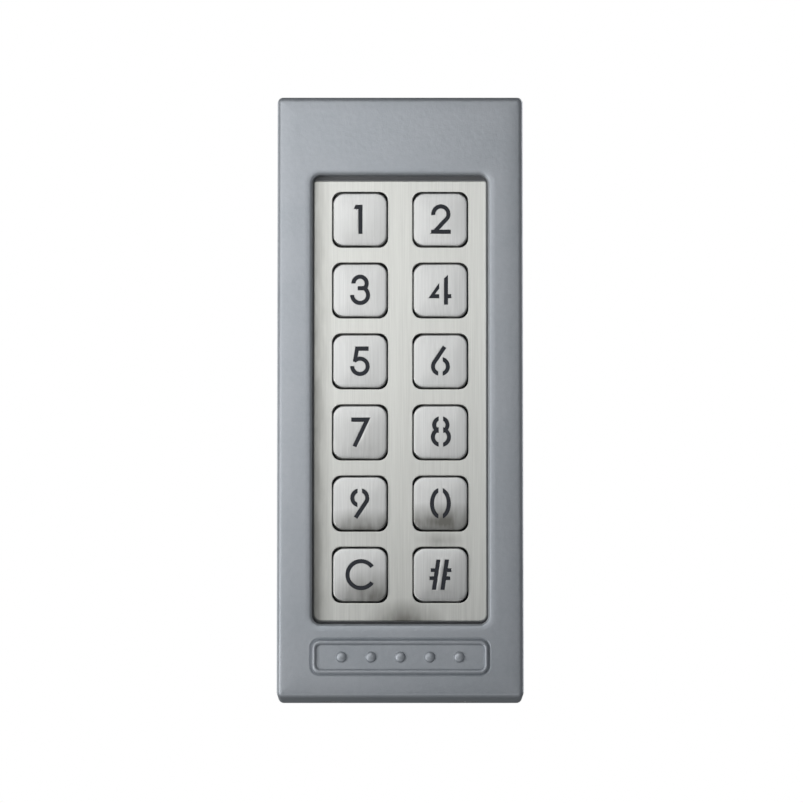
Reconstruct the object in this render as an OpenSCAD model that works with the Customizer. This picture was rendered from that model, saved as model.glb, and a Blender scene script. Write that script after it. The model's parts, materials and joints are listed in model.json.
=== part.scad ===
// Wall-mounted access keypad: a cast housing on a screwed back plate, with twelve steel keys.
//
// The modules draw in panel coordinates: x to the right, y up, z out from the wall.
// panel() then stands the part up: +Z is up, the wall is the plane y = 0 and the keys face -Y.
// The origin is the middle of the four wall screws, on the back face.

/* [Housing] */
// Width of the front housing
housing_w = 52; // [52:0.5:60]
// Height of the front housing
housing_h = 127.5; // [127.5:0.5:136]
// Depth from the wall to the front face
housing_d = 22; // [22:0.5:26]
// Radius of the housing's four long corner edges
corner_r = 1.2; // [0.6:0.1:3]
// Rounding of the edges round the front face
front_edge_r = 0.8; // [0.4:0.1:1.1]
// Thickness of the housing's side walls
side_wall = 3.6; // [3.2:0.1:3.6]
// Thickness of the housing's front wall
front_wall = 3.2; // [2.9:0.1:3.4]

/* [Window] */
// Width of the window in the front wall
window_w = 37.1; // [36.9:0.1:37.8]
// Height of the window in the front wall
window_h = 95.4; // [95.2:0.1:96.6]
// Depth of the steel plate below the front face
window_recess = 2; // [1.6:0.1:2.2]
// Width of the bevel round the window
window_flare = 0.8; // [0.3:0.1:1]
// Gap between the steel plate and the window at the sides
plate_gap_x = 0.3; // [0.3:0.05:0.7]
// Gap between the steel plate and the window, the mean of top and bottom
plate_gap_y = 0.9; // [0.6:0.05:1.1]

/* [Keys] */
// Distance between the two columns of keys
col_pitch = 17; // [16.5:0.1:17.2]
// Distance between neighbouring rows of keys
row_pitch = 15.1; // [14.8:0.05:15.1]
// Width and height of one key cap
key_size = 11.3; // [10.8:0.1:11.3]
// Corner radius of a key cap
key_r = 2.3; // [1.9:0.1:2.5]
// Corner radius of a key's opening in the plate
opening_r = 1.9; // [1:0.1:1.9]
// Gap between a key cap and its opening in the plate
key_gap = 0.25; // [0.2:0.05:0.4]
// Height of the key caps above the plate
key_proud = 0.8; // [0.6:0.1:1]
// Travel of a key when it is pressed
key_travel = 0.8; // [0.4:0.1:0.8]
// Width of the strokes of the legends
stroke = 0.8; // [0.6:0.05:0.9]
// Width of the bridges in the stencil legends
bridge = 1; // [0.6:0.1:1.2]

/* [Wall fixing and cable] */
// Distance between the wall screws, across the plate
fixing_w = 28; // [24:0.5:28]
// Distance between the wall screws, up the plate
fixing_h = 96; // [90:0.5:97]
// Diameter of the wall screws' holes
fixing_d = 4.5; // [3.5:0.1:5]
// Diameter of the cable that the grommet takes
cable_d = 6; // [4:0.1:7]

/* [Hidden] */
$fn = 48;
eps = 0.02;             // overlap that makes two shapes of one piece a single solid
clearance = 0.3;        // gap between pieces that are assembled by hand
thread_clearance = 0.05;

LEGENDS = ["1", "2", "3", "4", "5", "6", "7", "8", "9", "0", "clear", "hash"];
STATIC_NODES = [
    "front_housing", "back_plate", "housing_seal", "keypad_plate", "plate_gasket", "key_guide",
    "keypad_mat", "circuit_board", "contact_pads", "backlight_leds", "microcontroller", "relays",
    "terminal_block", "terminal_screws", "buzzer", "capacitors", "power_regulator",
    "tamper_switch", "tamper_plunger", "tamper_spring", "cable_grommet", "stack_screws",
    "board_screws", "housing_screws"
];
KEY_PIECES = ["key_cap_", "key_lens_", "contact_pill_"];

// Levels above the wall, from the front face back to the board
flange_t = 1.8;
gasket_t = 0.5;
guide_t = 3.7;
mat_t = 1.2;
board_t = 1.6;
front_wall_z = housing_d - front_wall;
plate_front_z = housing_d - window_recess;
flange_front_z = front_wall_z - gasket_t;
plate_back_z = flange_front_z - flange_t;
guide_back_z = plate_back_z - guide_t;
board_front_z = guide_back_z - mat_t;
board_back_z = board_front_z - board_t;

// Back plate, and the lip of the housing that drops over it
back_t = 2;
back_r = 1;
lip_wall = 2.2;
lip_start_z = 0.3;
seal_t = 1.2;
seal_w = 0.9;
rebate_z = back_t + seal_t;
back_w = housing_w - 2 * (lip_wall + clearance);
back_h = housing_h - 2 * (lip_wall + clearance);
cavity_w = housing_w - 2 * side_wall;
cavity_h = housing_h - 2 * side_wall;

// Two tongues hook the housing at the top, and two lugs take the screws from below
tongue_w = 8;
tongue_t = 0.9;
tongue_reach = 1.2;
tongue_x = 12;
lug_size = [8, 6.5, 5.4];
lug_x = 14;
housing_screw_z = back_t + 3.2;
housing_screw_len = 9.5;
housing_screw_head = 1.5;

// Keypad plate, the gasket on its flange, and the pieces stacked behind it
window_y = -0.5;        // the window sits a little below the middle of the front face
plate_y = -0.75;        // and the plate a little below the middle of the window
window_r = 1.2;
plate_w = window_w - 2 * plate_gap_x;
plate_h = window_h - 2 * plate_gap_y;
plate_r = 0.8;
flange_w = 41;
flange_h = 101;
gasket_w = 1.3;
guide_w = 40;
guide_h = 98;
board_w = 44;
board_h = 118;

// Keys: a steel cap on a lens whose flange holds it behind the plate
cap_top_z = plate_front_z + key_proud;
cap_top_t = 1.2;
cap_wall = 0.9;
cap_edge_r = 0.6;
lens_gap = 0.1;
lens_flange = 13;
lens_flange_t = 0.8;
lens_fit = 0.1;
legend_sink = 0.1;
lens_top_z = plate_back_z - lens_gap;
lens_back_z = lens_top_z - lens_flange_t;
pocket = lens_flange + 0.5;
pad_t = 0.06;
pad_r = 2.4;
pad_slit = 0.35;
pill_r = 1.8;
pill_t = 0.8;
pill_back_z = board_front_z + pad_t + key_travel + 0.04;
led_size = [2, 1, 0.7];
led_offset = 5.4;       // height of each light above the middle of its key

// Screws, as shank radius, head radius, head height
m2 = [1, 1.9, 1.3];
m3 = [1.5, 2.7, 1.9];
stack_screw_len = 8;
stack_hole_depth = 1.6;
board_screw_len = 8;
boss_r = 3;
boss_spots = [for (x = [-17, 17], y = [-55.5, 55.5]) [x, y]];
stack_spots = [for (row = [-3, -1, 1, 3]) [0, row * row_pitch]];
fixing_spots = [for (x = [-1, 1], y = [-1, 1]) [x * fixing_w / 2, y * fixing_h / 2]];

// Raised panel below the window: a plain rim round a row of studs
relief_size = [37.4, 7.3];
relief_y = -55.2;
relief_h = 0.35;
relief_r = 1.8;
relief_rim = 1;
stud_r = 1.15;
stud_pitch = 6.2;

// Cable grommet: the back flange sits in a counterbore, flush with the wall side
grommet_at = [0, 30];
grommet_flange_r = 6.6;
grommet_flange_t = 0.8;
grommet_waist_r = 5;
grommet_len = 3.6;

// Pieces on the back of the board
terminal_at = [0, 6];
terminal_poles = 8;
terminal_pitch = 3.5;
terminal_size = [28.8, 7.2, 6.8];
terminal_screw_r = 1.3;
terminal_screw_y = -0.6;  // the screws sit a little below the middle of the block
relay_size = [6.5, 10, 5.2];
relay_spots = [[-15.5, -9], [-7, -9]];
chip_size = [10, 10, 1.4];
chip_at = [0, -30];
chip_pins = 11;
chip_pin_pitch = 0.8;
buzzer_at = [13.5, -31];
buzzer_r = 6;
buzzer_h = 5.5;
capacitor_spots = [[-13.5, -25], [-13.5, -34]];
capacitor_r = 3.15;
capacitor_h = 5.4;
regulator_at = [14, 24];
regulator_size = [6.5, 6, 2.3];

// Tamper switch: the plunger rests on the wall and springs out when the unit is pulled off
tamper_at = [13, -12];
tamper_size = 7;
tamper_lip_z = 4.6;
tamper_lip_t = 0.8;
tamper_bore_r = 2.1;
tamper_shaft_r = 1.2;
tamper_travel = 1.5;
tamper_collar_r = 1.95;
tamper_collar_t = 0.8;
tamper_collar_z = tamper_lip_z + tamper_lip_t + tamper_travel + 0.1;
spring_wire = 0.35;
spring_r = 1.55;
spring_turns = 2.5;
spring_back_z = tamper_collar_z + tamper_collar_t;
tamper_bore_end = spring_back_z + 1.4;

housing_colour = [0.60, 0.62, 0.65];
steel_colour = [0.82, 0.82, 0.79];
rubber_colour = [0.10, 0.10, 0.11];

// ---- Shared shapes ----

module panel() {
    rotate([90, 0, 0])
        children();
}

module at(spots) {
    for (spot = spots)
        translate([spot.x, spot.y, 0])
            children();
}

module rounded_rect(w, h, r) {
    square([w - 2 * r, h], center = true);
    square([w, h - 2 * r], center = true);
    for (x = [-1, 1], y = [-1, 1])
        translate([x * (w / 2 - r), y * (h / 2 - r)])
            circle(r);
}

// A flat block with rounded corners, between two levels
module slab(w, h, r, from_z, to_z) {
    translate([0, 0, from_z])
        linear_extrude(to_z - from_z)
            rounded_rect(w, h, r);
}

// The end view of a block whose front edges are rounded
module rounded_end(w, from_z, to_z, edge_r) {
    translate([-w / 2, from_z])
        square([w, to_z - edge_r - from_z]);
    translate([-w / 2 + edge_r, from_z])
        square([w - 2 * edge_r, to_z - from_z]);
    for (x = [-1, 1])
        translate([x * (w / 2 - edge_r), to_z - edge_r])
            circle(edge_r);
}

// A slab whose front edges are rounded as well
module rounded_block(w, h, r, from_z, to_z, edge_r) {
    intersection() {
        slab(w, h, r, from_z, to_z);
        rotate([90, 0, 0])
            linear_extrude(h + 2, center = true)
                rounded_end(w, from_z, to_z, edge_r);
        rotate([90, 0, 90])
            linear_extrude(w + 2, center = true)
                rounded_end(h, from_z, to_z, edge_r);
    }
}

module drum(r, from_z, to_z) {
    translate([0, 0, from_z])
        cylinder(r = r, h = to_z - from_z);
}

module frame(w, h, r, rim, from_z, to_z) {
    difference() {
        slab(w, h, r, from_z, to_z);
        slab(w - 2 * rim, h - 2 * rim, max(r - rim, 0.3), from_z - 1, to_z + 1);
    }
}

// A pan-head screw that points out from the wall, with its head under from_z
module pan_screw(size, length, from_z) {
    slot = 0.5;
    difference() {
        union() {
            drum(size[1], from_z - size[2], from_z);
            drum(size[0], from_z - eps, from_z + length);
        }
        for (turn = [0, 90])
            rotate(turn)
                translate([-size[1] * 0.6, -slot / 2, from_z - size[2] - eps])
                    cube([size[1] * 1.2, slot, size[2] * 0.6]);
    }
}

function key_spot(i) = [
    (i % 2 - 0.5) * col_pitch,
    (2.5 - floor(i / 2)) * row_pitch
];

module at_keys() {
    for (i = [0 : len(LEGENDS) - 1])
        translate([key_spot(i).x, key_spot(i).y, 0])
            children();
}

module at_window() {
    translate([0, window_y, 0])
        children();
}

module at_plate() {
    translate([0, plate_y, 0])
        children();
}

// ---- Legends, drawn flat around the middle of a key ----

legend_half = 3.05;     // half the height of the straight legends
arc_step = 9;           // degrees between points along an arc

function arc_points(centre, r, from, to) =
    let (steps = ceil(abs(to - from) / arc_step))
    [for (i = [0 : steps])
        let (angle = from + (to - from) * i / steps)
        centre + r * [cos(angle), sin(angle)]];

module arc(centre, r, from, to) {
    polygon(concat(
        arc_points(centre, r + stroke / 2, from, to),
        arc_points(centre, r - stroke / 2, to, from)
    ));
}

module ring(centre, r) {
    arc(centre, r, 90, 270);
    arc(centre, r, -90, 90);
}

module bar(from, to) {
    run = to - from;
    translate(from)
        rotate(atan2(run.y, run.x))
            translate([0, -stroke / 2])
                square([norm(run), stroke]);
}

// Cuts the upright stencil bridge out of a legend
module bridged(x) {
    difference() {
        children();
        translate([x, 0])
            square([bridge, 8], center = true);
    }
}

module legend_1() {
    translate([-0.32, -legend_half])
        square([stroke, 2 * legend_half]);
    polygon([[-0.95, legend_half], [0.2, legend_half], [0.2, 2.25], [-1.25, 2.25]]);
}

module legend_2() {
    bowl = [0.14, 1.15];
    bowl_r = 1.6;
    slope = 47;
    tangent = bowl + bowl_r * [sin(slope), -cos(slope)];
    arc(bowl, bowl_r, slope - 90, 187);
    intersection() {
        bar(tangent - 6 * [cos(slope), sin(slope)], tangent);
        translate([-3, -legend_half])
            square(6);
    }
    translate([-1.9, -legend_half])
        square([4.1, stroke]);
}

module legend_3() {
    waist_y = 0.38;
    arc([0.02, 1.45], 1.4, -49, 180);
    arc([0.03, -1.07], 1.68, -180, 59);
    bar([-0.45, waist_y], [0.95, waist_y]);
}

module legend_4() {
    foot_y = -1.7;
    polygon([[-2.45, foot_y], [-0.26, foot_y], [-0.26, foot_y + stroke],
        [-1.2, foot_y + stroke], [-0.26, 0.35], [-0.26, 1.5]]);
    polygon([[0.82, -legend_half], [1.6, -legend_half], [1.6, 3.2], [0.82, 2.45]]);
    translate([1.5, foot_y])
        square([0.8, stroke]);
}

module legend_5() {
    bowl = [0, -1.13];
    arc(bowl, 1.63, -180, 138);
    polygon([[-0.95, legend_half], [1.8, legend_half], [1.8, 2.22], [-0.3, 2.22],
        [-0.62, 0.35], [-0.9, -0.2], [-1.44, -0.05]]);
}

module legend_6() {
    bowl = [0.02, -1.15];
    bowl_r = 1.58;
    tip = [0.9, 3.02];
    reach = tip - bowl;
    tangent_angle = atan2(reach.y, reach.x) + acos(bowl_r / norm(reach));
    bar(bowl + bowl_r * [cos(tangent_angle), sin(tangent_angle)], tip);
    bridged(0.02) {
        arc(bowl, bowl_r, tangent_angle, 270);
        arc(bowl, bowl_r, -90, 90);
    }
}

module legend_7() {
    polygon([[-1.8, legend_half], [2.18, legend_half], [-0.77, -3.2], [-1.5, -2.87],
        [0.9, 2.22], [-1.8, 2.22]]);
}

module legend_8() {
    bridged(0.11) {
        ring([0.1, 1.55], 1.4);
        ring([0.12, -1.03], 1.7);
    }
}

module legend_9() {
    rotate(180)
        legend_6();
}

module legend_0() {
    oval = [2.17, 3.25];
    bridged(0.03)
        difference() {
            polygon([for (angle = [0 : arc_step : 351]) [oval.x * cos(angle), oval.y * sin(angle)]]);
            polygon([for (angle = [0 : arc_step : 351])
                [(oval.x - stroke) * cos(angle), (oval.y - stroke) * sin(angle)]]);
        }
}

module legend_clear() {
    arc([0.25, 0], 2.85, 36, 324);
}

module legend_hash() {
    lean = 8.5;
    stub = 1.15;
    for (side = [-1, 1])
        translate([side * 0.9, 0]) {
            intersection() {
                rotate(-lean)
                    square([stroke, 8], center = true);
                square([8, 2 * legend_half + 0.2], center = true);
            }
            for (y = [-0.75, 0.95])
                translate([side * (stub / 2 + 0.1) + y * tan(lean), y])
                    square([stub, 0.7], center = true);
        }
}

module legend(name) {
    if (name == "1") legend_1();
    if (name == "2") legend_2();
    if (name == "3") legend_3();
    if (name == "4") legend_4();
    if (name == "5") legend_5();
    if (name == "6") legend_6();
    if (name == "7") legend_7();
    if (name == "8") legend_8();
    if (name == "9") legend_9();
    if (name == "0") legend_0();
    if (name == "clear") legend_clear();
    if (name == "hash") legend_hash();
}

// ---- Housing ----

module window_cut() {
    slab(window_w, window_h, window_r, front_wall_z - 1, housing_d + 1);
    hull() {
        slab(window_w, window_h, window_r, housing_d - window_flare - eps, housing_d - window_flare);
        slab(window_w + 2 * window_flare, window_h + 2 * window_flare, window_r + window_flare,
            housing_d, housing_d + eps);
    }
}

module relief() {
    translate([0, relief_y, 0]) {
        frame(relief_size.x, relief_size.y, relief_r, relief_rim, housing_d - eps,
            housing_d + relief_h);
        for (i = [-2 : 2])
            translate([i * stud_pitch, 0, 0])
                drum(stud_r, housing_d - eps, housing_d + relief_h);
    }
}

// The countersunk hole, or the screw in it, up through the bottom wall
module housing_screw_shape(shank_r, length) {
    translate([0, -housing_h / 2, housing_screw_z])
        rotate([-90, 0, 0]) {
            cylinder(r1 = m3[1], r2 = shank_r, h = housing_screw_head);
            cylinder(r = shank_r, h = length);
        }
}

module front_housing() {
    pocket_w = tongue_w + 2 * clearance;
    color(housing_colour)
        panel()
            difference() {
                union() {
                    difference() {
                        rounded_block(housing_w, housing_h, corner_r, lip_start_z, housing_d,
                            front_edge_r);
                        slab(housing_w - 2 * lip_wall, housing_h - 2 * lip_wall, back_r, -1, rebate_z);
                        slab(cavity_w, cavity_h, back_r, 1, front_wall_z);
                        at_window()
                            window_cut();
                    }
                    at(boss_spots)
                        drum(boss_r, board_front_z, front_wall_z + eps);
                    relief();
                }
                at(boss_spots)
                    drum(m3[0] + thread_clearance, board_front_z - 1, board_front_z + 7);
                for (x = [-tongue_x, tongue_x])
                    translate([x - pocket_w / 2, housing_h / 2 - lip_wall - 1, back_t - tongue_t - 0.15])
                        cube([pocket_w, 1 + tongue_reach, tongue_t + 0.3]);
                for (x = [-lug_x, lug_x])
                    translate([x, 0, 0])
                        housing_screw_shape(m3[0] + thread_clearance, side_wall + 1);
            }
}

module back_plate() {
    color([0.55, 0.56, 0.58])
        panel()
            difference() {
                union() {
                    slab(back_w, back_h, back_r, 0, back_t);
                    for (x = [-tongue_x, tongue_x])
                        translate([x - tongue_w / 2, back_h / 2 - 1, back_t - tongue_t])
                            cube([tongue_w, 1 + tongue_reach, tongue_t]);
                    for (x = [-lug_x, lug_x])
                        translate([x - lug_size.x / 2, -cavity_h / 2 + 0.4, back_t - eps])
                            cube(lug_size);
                }
                at(fixing_spots)
                    drum(fixing_d / 2, -1, back_t + 1);
                translate([grommet_at.x, grommet_at.y, 0]) {
                    drum(grommet_flange_r + 0.1, -1, grommet_flange_t);
                    drum(grommet_waist_r, -1, back_t + 1);
                }
                translate([tamper_at.x, tamper_at.y, 0])
                    drum(tamper_shaft_r + 0.4, -1, back_t + 1);
                for (x = [-lug_x, lug_x])
                    translate([x, -cavity_h / 2, housing_screw_z])
                        rotate([-90, 0, 0])
                            cylinder(r = m3[0] + thread_clearance, h = lug_size.y + 2);
            }
}

module housing_seal() {
    color(rubber_colour)
        panel()
            frame(back_w, back_h, back_r, seal_w, back_t, rebate_z);
}

module housing_screws() {
    key_r6 = 1.15;
    key_depth = 1.2;
    pin_r = 0.35;
    color([0.75, 0.75, 0.76])
        panel()
            for (x = [-lug_x, lug_x])
                translate([x, 0, 0])
                    difference() {
                        housing_screw_shape(m3[0], housing_screw_len);
                        translate([0, -housing_h / 2 - eps, housing_screw_z])
                            rotate([-90, 0, 0])
                                difference() {
                                    cylinder(r = key_r6, h = key_depth, $fn = 6);
                                    cylinder(r = pin_r, h = key_depth);
                                }
                    }
}

module cable_grommet() {
    bore_r = cable_d / 2;
    nose_r = grommet_waist_r - 0.4;
    color(rubber_colour)
        panel()
            translate([grommet_at.x, grommet_at.y, 0])
                rotate_extrude()
                    polygon([
                        [bore_r, 0], [grommet_flange_r, 0], [grommet_flange_r, grommet_flange_t],
                        [grommet_waist_r, grommet_flange_t], [grommet_waist_r, back_t],
                        [grommet_flange_r, back_t], [grommet_flange_r, back_t + 0.6],
                        [nose_r, grommet_len], [bore_r, grommet_len]
                    ]);
}

// ---- Keypad ----

module keypad_plate() {
    color(steel_colour)
        panel()
            difference() {
                at_plate() {
                    slab(flange_w, flange_h, plate_r, plate_back_z, flange_front_z);
                    slab(plate_w, plate_h, plate_r, flange_front_z - eps, plate_front_z);
                }
                at_keys()
                    slab(key_size + 2 * key_gap, key_size + 2 * key_gap, opening_r,
                        plate_back_z - 1, plate_front_z + 1);
                at(stack_spots)
                    drum(m2[0] + thread_clearance, plate_back_z - 1,
                        plate_back_z + stack_hole_depth);
            }
}

module plate_gasket() {
    color(rubber_colour)
        panel()
            at_plate()
                frame(flange_w - 0.4, flange_h - 0.4, plate_r, gasket_w, flange_front_z,
                    front_wall_z);
}

module key_guide() {
    color([0.20, 0.21, 0.23])
        panel()
            difference() {
                slab(guide_w, guide_h, 1.5, guide_back_z, plate_back_z);
                at_keys()
                    slab(pocket, pocket, 1.8, guide_back_z - 1, plate_back_z + 1);
                at(stack_spots)
                    drum(m2[0] + 0.15, guide_back_z - 1, plate_back_z + 1);
            }
}

// One silicone dome, with the boss that pushes on the key and holds the pill
module mat_dome() {
    pill_front_z = pill_back_z + pill_t;
    foot_z = guide_back_z - 0.2;
    rotate_extrude()
        polygon([
            [0, pill_front_z], [pill_r + 0.1, pill_front_z], [pill_r + 0.5, pill_front_z + 0.7],
            [3.9, foot_z], [4.5, foot_z], [2.9, lens_back_z - 1], [2.7, lens_back_z],
            [0, lens_back_z]
        ]);
}

module keypad_mat() {
    contact_r = 3.9;
    led_window = [led_size.x + 0.4, led_size.y + 0.3, mat_t + 2];
    color([0.78, 0.80, 0.80])
        panel() {
            difference() {
                slab(guide_w, guide_h, 1.5, board_front_z, guide_back_z);
                at_keys() {
                    drum(contact_r, board_front_z - 1, guide_back_z + 1);
                    translate([-led_window.x / 2, led_offset - led_window.y / 2, board_front_z - 1])
                        cube(led_window);
                }
                at(stack_spots)
                    drum(m2[0] + 0.2, board_front_z - 1, guide_back_z + 1);
            }
            at_keys()
                mat_dome();
        }
}

module key_cap(i) {
    inner = key_size - 2 * cap_wall;
    color(steel_colour)
        panel()
            translate([key_spot(i).x, key_spot(i).y, 0])
                difference() {
                    rounded_block(key_size, key_size, key_r, lens_top_z, cap_top_z, cap_edge_r);
                    slab(inner, inner, key_r - cap_wall, lens_top_z - 1, cap_top_z - cap_top_t);
                    translate([0, 0, lens_top_z])
                        linear_extrude(cap_top_z)
                            legend(LEGENDS[i]);
                }
}

module key_lens(i) {
    core = key_size - 2 * (cap_wall + lens_fit);
    core_top_z = cap_top_z - cap_top_t;
    color([0.16, 0.18, 0.22])
        panel()
            translate([key_spot(i).x, key_spot(i).y, 0]) {
                slab(lens_flange, lens_flange, key_r, lens_back_z, lens_top_z);
                slab(core, core, key_r - cap_wall, lens_top_z - eps, core_top_z);
                translate([0, 0, core_top_z - eps])
                    linear_extrude(cap_top_t - legend_sink + eps)
                        legend(LEGENDS[i]);
            }
}

module contact_pill(i) {
    color([0.08, 0.08, 0.08])
        panel()
            translate([key_spot(i).x, key_spot(i).y, 0])
                drum(pill_r, pill_back_z, pill_back_z + pill_t);
}

module stack_screws() {
    color([0.75, 0.75, 0.76])
        panel()
            at(stack_spots)
                pan_screw(m2, stack_screw_len, board_back_z);
}

// ---- Board ----

module circuit_board() {
    color([0.05, 0.30, 0.16])
        panel()
            difference() {
                slab(board_w, board_h, 1, board_back_z, board_front_z);
                at(boss_spots)
                    drum(m3[0] + 0.2, board_back_z - 1, board_front_z + 1);
                at(stack_spots)
                    drum(m2[0] + 0.15, board_back_z - 1, board_front_z + 1);
            }
}

module board_screws() {
    color([0.75, 0.75, 0.76])
        panel()
            at(boss_spots)
                pan_screw(m3, board_screw_len, board_back_z);
}

module contact_pads() {
    color([0.85, 0.70, 0.35])
        panel()
            at_keys()
                difference() {
                    drum(pad_r, board_front_z, board_front_z + pad_t);
                    translate([-pad_slit / 2, -pad_r - 1, board_front_z - 1])
                        cube([pad_slit, 2 * pad_r + 2, 3]);
                }
}

module backlight_leds() {
    color([0.95, 0.95, 0.90])
        panel()
            at_keys()
                translate([-led_size.x / 2, led_offset - led_size.y / 2, board_front_z])
                    cube(led_size);
}

// A block that stands on the back of the board
module on_board(size) {
    translate([-size.x / 2, -size.y / 2, board_back_z - size.z])
        cube(size);
}

module microcontroller() {
    pin = [0.35, 1.2, 0.3];
    color([0.10, 0.10, 0.11])
        panel()
            translate([chip_at.x, chip_at.y, 0]) {
                on_board(chip_size);
                for (turn = [0 : 90 : 270], i = [0 : chip_pins - 1])
                    rotate(turn)
                        translate([(i - (chip_pins - 1) / 2) * chip_pin_pitch,
                            chip_size.y / 2 + pin.y / 2 - eps, 0])
                            on_board(pin);
            }
}

module relays() {
    color([0.12, 0.12, 0.13])
        panel()
            at(relay_spots)
                relay();
}

module relay() {
    stripe = 0.3;
    difference() {
        on_board(relay_size);
        translate([-relay_size.x, relay_size.y / 2 - 1.5, board_back_z - relay_size.z - eps])
            cube([2 * relay_size.x, stripe, stripe]);
    }
}

function pole_x(i) = (i - (terminal_poles - 1) / 2) * terminal_pitch;

module terminal_block() {
    entry = [2.2, 5, 2.4];
    floor_z = board_back_z - terminal_size.z;
    color([0.10, 0.35, 0.22])
        panel()
            translate([terminal_at.x, terminal_at.y, 0])
                difference() {
                    on_board(terminal_size);
                    for (i = [0 : terminal_poles - 1]) {
                        translate([pole_x(i), terminal_screw_y, 0])
                            drum(terminal_screw_r + 0.1, floor_z - 1, floor_z + 2.3);
                        translate([pole_x(i) - entry.x / 2, terminal_size.y / 2 - entry.y,
                            board_back_z - 1 - entry.z])
                            cube(entry + [0, 1, 0]);
                    }
                }
}

module terminal_screws() {
    head_z = board_back_z - terminal_size.z + 0.5;
    slot = [2 * terminal_screw_r + 1, 0.5, 0.7];
    color([0.78, 0.78, 0.78])
        panel()
            translate([terminal_at.x, terminal_at.y + terminal_screw_y, 0])
                for (i = [0 : terminal_poles - 1])
                    translate([pole_x(i), 0, 0])
                        difference() {
                            drum(terminal_screw_r, head_z, head_z + 1.8);
                            translate([-slot.x / 2, -slot.y / 2, head_z - eps])
                                cube(slot);
                        }
}

module buzzer() {
    color([0.08, 0.08, 0.09])
        panel()
            translate([buzzer_at.x, buzzer_at.y, 0])
                difference() {
                    drum(buzzer_r, board_back_z - buzzer_h, board_back_z);
                    drum(1.1, board_back_z - buzzer_h - 1, board_back_z - buzzer_h + 1.5);
                }
}

module capacitors() {
    base = [6.6, 6.6, 0.8];
    color([0.70, 0.71, 0.73])
        panel()
            at(capacitor_spots) {
                on_board(base);
                drum(capacitor_r, board_back_z - capacitor_h, board_back_z - base.z + eps);
            }
}

module power_regulator() {
    tab = [5.2, 1.6, 0.6];
    lead = [0.8, 2, 0.6];
    color([0.11, 0.11, 0.12])
        panel()
            translate([regulator_at.x, regulator_at.y, 0]) {
                on_board(regulator_size);
                translate([0, (regulator_size.y + tab.y) / 2 - eps, 0])
                    on_board(tab);
                for (x = [-2.3, 2.3])
                    translate([x, -(regulator_size.y + lead.y) / 2 + eps, 0])
                        on_board(lead);
            }
}

// ---- Tamper switch ----

module tamper_switch() {
    color([0.15, 0.15, 0.17])
        panel()
            translate([tamper_at.x, tamper_at.y, 0])
                difference() {
                    slab(tamper_size, tamper_size, 0.5, tamper_lip_z, board_back_z);
                    drum(tamper_shaft_r + 0.15, tamper_lip_z - 1, tamper_bore_end);
                    drum(tamper_bore_r, tamper_lip_z + tamper_lip_t, tamper_bore_end);
                }
}

module tamper_plunger() {
    tip = 0.4;
    color([0.85, 0.25, 0.15])
        panel()
            translate([tamper_at.x, tamper_at.y, 0]) {
                cylinder(r1 = tamper_shaft_r - 0.3, r2 = tamper_shaft_r, h = tip);
                drum(tamper_shaft_r, tip - eps, tamper_collar_z + eps);
                drum(tamper_collar_r, tamper_collar_z, spring_back_z);
                drum(spring_r - 0.5, spring_back_z - eps, spring_back_z + 0.7);
            }
}

// A coil swept as rings of points around a helix
module tamper_spring() {
    sides = 8;
    rings_per_turn = 16;
    rings = spring_turns * rings_per_turn;
    rise = tamper_bore_end - spring_back_z - spring_wire;
    wire_r = spring_wire / 2;
    points = [for (i = [0 : rings], k = [0 : sides - 1])
        let (turn = 360 * i / rings_per_turn, around = 360 * k / sides)
        let (r = spring_r + wire_r * cos(around))
        [r * cos(turn), r * sin(turn),
            spring_back_z + wire_r + rise * i / rings + wire_r * sin(around)]];
    walls = [for (i = [0 : rings - 1], k = [0 : sides - 1])
        let (next = (k + 1) % sides)
        [i * sides + k, i * sides + next, (i + 1) * sides + next, (i + 1) * sides + k]];
    start_cap = [[for (k = [sides - 1 : -1 : 0]) k]];
    end_cap = [[for (k = [0 : sides - 1]) rings * sides + k]];
    color([0.70, 0.70, 0.72])
        panel()
            translate([tamper_at.x, tamper_at.y, 0])
                polyhedron(points, concat(walls, start_cap, end_cap));
}

front_housing();
back_plate();
housing_seal();
keypad_plate();
plate_gasket();
key_guide();
keypad_mat();
circuit_board();
contact_pads();
backlight_leds();
microcontroller();
relays();
terminal_block();
terminal_screws();
buzzer();
capacitors();
power_regulator();
tamper_switch();
tamper_plunger();
tamper_spring();
cable_grommet();
stack_screws();
board_screws();
housing_screws();
for (i = [0 : len(LEGENDS) - 1]) {
    key_cap(i);
    key_lens(i);
    contact_pill(i);
}
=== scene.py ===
"""Looks of the wall-mounted access keypad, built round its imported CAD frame.

Meshes are drawn in panel millimetres, as the frame was: x to the right, y up, z out from the wall.
PANEL then carries them to the row frame in metres, where the wall is y = 0 and the keys face -Y.
"""

import json
import math

import bmesh
import bpy
from mathutils import Matrix, Vector
from mathutils.geometry import delaunay_2d_cdt


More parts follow.
